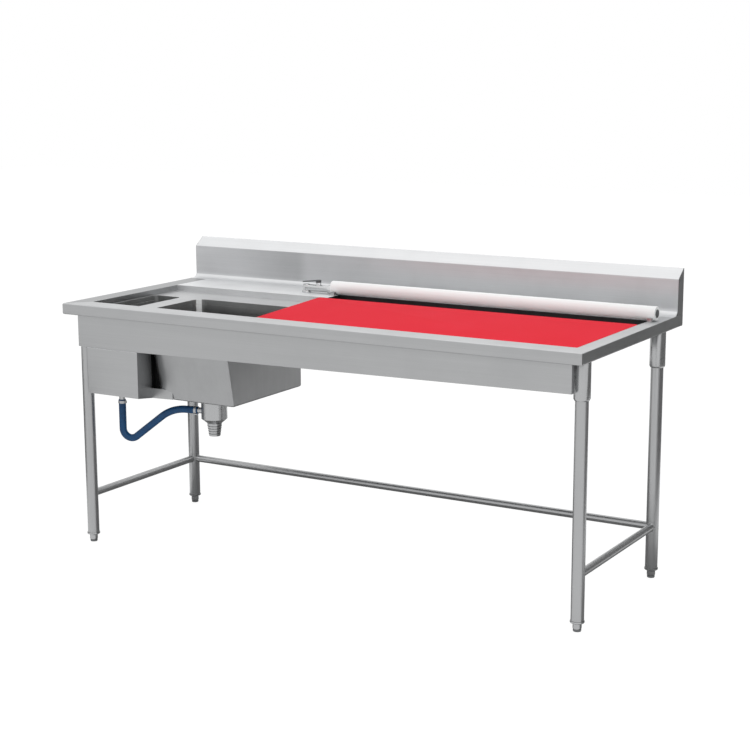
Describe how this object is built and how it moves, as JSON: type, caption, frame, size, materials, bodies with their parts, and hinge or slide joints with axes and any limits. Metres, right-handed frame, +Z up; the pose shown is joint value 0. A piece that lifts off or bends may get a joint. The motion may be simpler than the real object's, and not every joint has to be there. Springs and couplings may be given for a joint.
{
  "type": "fish cleaning table",
  "caption": "Stainless steel fish cleaning table: cutting board let into the top, sink bowl, waste trough, rinse pipe with valve, splash-back and tube legs with levelling feet.",
  "frame": {"origin": "on the floor, under the centre of the table's outline", "axes": "+X to the right along the table's length, +Y to the splash-back, +Z up"},
  "size_m": [1.9, 0.8, 1],
  "materials": {
    "sheet_steel": "brushed along the sheet's length",
    "tube_steel": "satin, ground along the tube",
    "sleeve_steel": "turned satin",
    "polished_steel": "polished",
    "screw_steel": "plated, turned",
    "board_plastic": "fine sawn and planed surface",
    "bearer_plastic": "planed",
    "hose_plastic": "smooth, slightly glossy",
    "nylon": "moulded",
    "pad_plastic": "moulded"
  },
  "bodies": {
    "table": {"board_bearer_1": "bearer_plastic", "board_bearer_2": "bearer_plastic", "board_bearer_3": "bearer_plastic", "board_pan": "sheet_steel", "cover_panel": "sheet_steel", "cross_stiffener": "sheet_steel", "drain_hose": "hose_plastic", "foot_insert_front_left": "nylon", "foot_insert_front_right": "nylon", "foot_insert_rear_left": "nylon", "foot_insert_rear_right": "nylon", "front_apron": "sheet_steel", "front_rim": "sheet_steel", "hose_clip_trough": "polished_steel", "hose_clip_waste": "polished_steel", "left_channel": "sheet_steel", "left_rim": "sheet_steel", "leg_front_left": "tube_steel", "leg_front_right": "tube_steel", "leg_rear_left": "tube_steel", "leg_rear_right": "tube_steel", "leg_sleeve_front_left": "sleeve_steel", "leg_sleeve_front_right": "sleeve_steel", "leg_sleeve_rear_left": "sleeve_steel", "leg_sleeve_rear_right": "sleeve_steel", "main_bowl": "sheet_steel", "pipe_bracket_left": "sheet_steel", "pipe_bracket_right": "sheet_steel", "rail_left": "tube_steel", "rail_rear": "tube_steel", "rail_right": "tube_steel", "rear_channel": "sheet_steel", "rear_deck": "sheet_steel", "right_channel": "sheet_steel", "right_rim": "sheet_steel", "rinse_pipe": "polished_steel", "rinse_pipe_plug": "polished_steel", "sink_ledge": "sheet_steel", "splash_back": "sheet_steel", "splash_end_left": "sheet_steel", "splash_end_right": "sheet_steel", "supply_locknut": "sheet_steel", "supply_pipe": "sheet_steel", "trough_bowl": "sheet_steel", "trough_stub": "sheet_steel", "valve_body": "polished_steel", "waste_body": "sheet_steel", "waste_flange": "polished_steel"},
    "board": {"cutting_board": "board_plastic"},
    "pad_front_left": {"foot_pad_front_left": "pad_plastic"},
    "pad_front_right": {"foot_pad_front_right": "pad_plastic"},
    "pad_rear_left": {"foot_pad_rear_left": "pad_plastic"},
    "pad_rear_right": {"foot_pad_rear_right": "pad_plastic"},
    "stem_front_left": {"foot_stem_front_left": "screw_steel"},
    "stem_front_right": {"foot_stem_front_right": "screw_steel"},
    "stem_rear_left": {"foot_stem_rear_left": "screw_steel"},
    "stem_rear_right": {"foot_stem_rear_right": "screw_steel"},
    "strainer": {"strainer_basket": "polished_steel"},
    "lever": {"valve_lever": "polished_steel"}
  },
  "joints": [
    {"name": "board_lift", "type": "slide", "parent": "table", "child": "board", "axis": [0, 0, 1], "range_m": [0, 0.15]},
    {"name": "strainer_lift", "type": "slide", "parent": "table", "child": "strainer", "axis": [0, 0, 1], "range_m": [0, 0.35]},
    {"name": "valve_turn", "type": "hinge", "parent": "table", "child": "lever", "pos_m": [-0.322, 0.223, 0.8865], "axis": [0, 0, 1], "range_deg": [0, 90]},
    {"name": "foot_height_front_left", "type": "slide", "parent": "table", "child": "pad_front_left", "axis": [0, 0, -1], "range_m": [0, 0.02]},
    {"name": "foot_screw_front_left", "type": "hinge", "parent": "pad_front_left", "child": "stem_front_left", "pos_m": [-0.918, -0.32, 0.02], "axis": [0, 0, -1], "range_deg": [0, 4120]},
    {"name": "foot_height_front_right", "type": "slide", "parent": "table", "child": "pad_front_right", "axis": [0, 0, -1], "range_m": [0, 0.02]},
    {"name": "foot_screw_front_right", "type": "hinge", "parent": "pad_front_right", "child": "stem_front_right", "pos_m": [0.918, -0.32, 0.02], "axis": [0, 0, -1], "range_deg": [0, 4120]},
    {"name": "foot_height_rear_left", "type": "slide", "parent": "table", "child": "pad_rear_left", "axis": [0, 0, -1], "range_m": [0, 0.02]},
    {"name": "foot_screw_rear_left", "type": "hinge", "parent": "pad_rear_left", "child": "stem_rear_left", "pos_m": [-0.918, 0.27, 0.02], "axis": [0, 0, -1], "range_deg": [0, 4120]},
    {"name": "foot_height_rear_right", "type": "slide", "parent": "table", "child": "pad_rear_right", "axis": [0, 0, -1], "range_m": [0, 0.02]},
    {"name": "foot_screw_rear_right", "type": "hinge", "parent": "pad_rear_right", "child": "stem_rear_right", "pos_m": [0.918, 0.27, 0.02], "axis": [0, 0, -1], "range_deg": [0, 4120]}
  ],
  "couplings": [
    {"joint": "foot_screw_front_left", "follows": "foot_height_front_left", "rad_per_m": 3590.4},
    {"joint": "foot_screw_front_right", "follows": "foot_height_front_right", "rad_per_m": 3590.4},
    {"joint": "foot_screw_rear_left", "follows": "foot_height_rear_left", "rad_per_m": 3590.4},
    {"joint": "foot_screw_rear_right", "follows": "foot_height_rear_right", "rad_per_m": 3590.4}
  ]
}
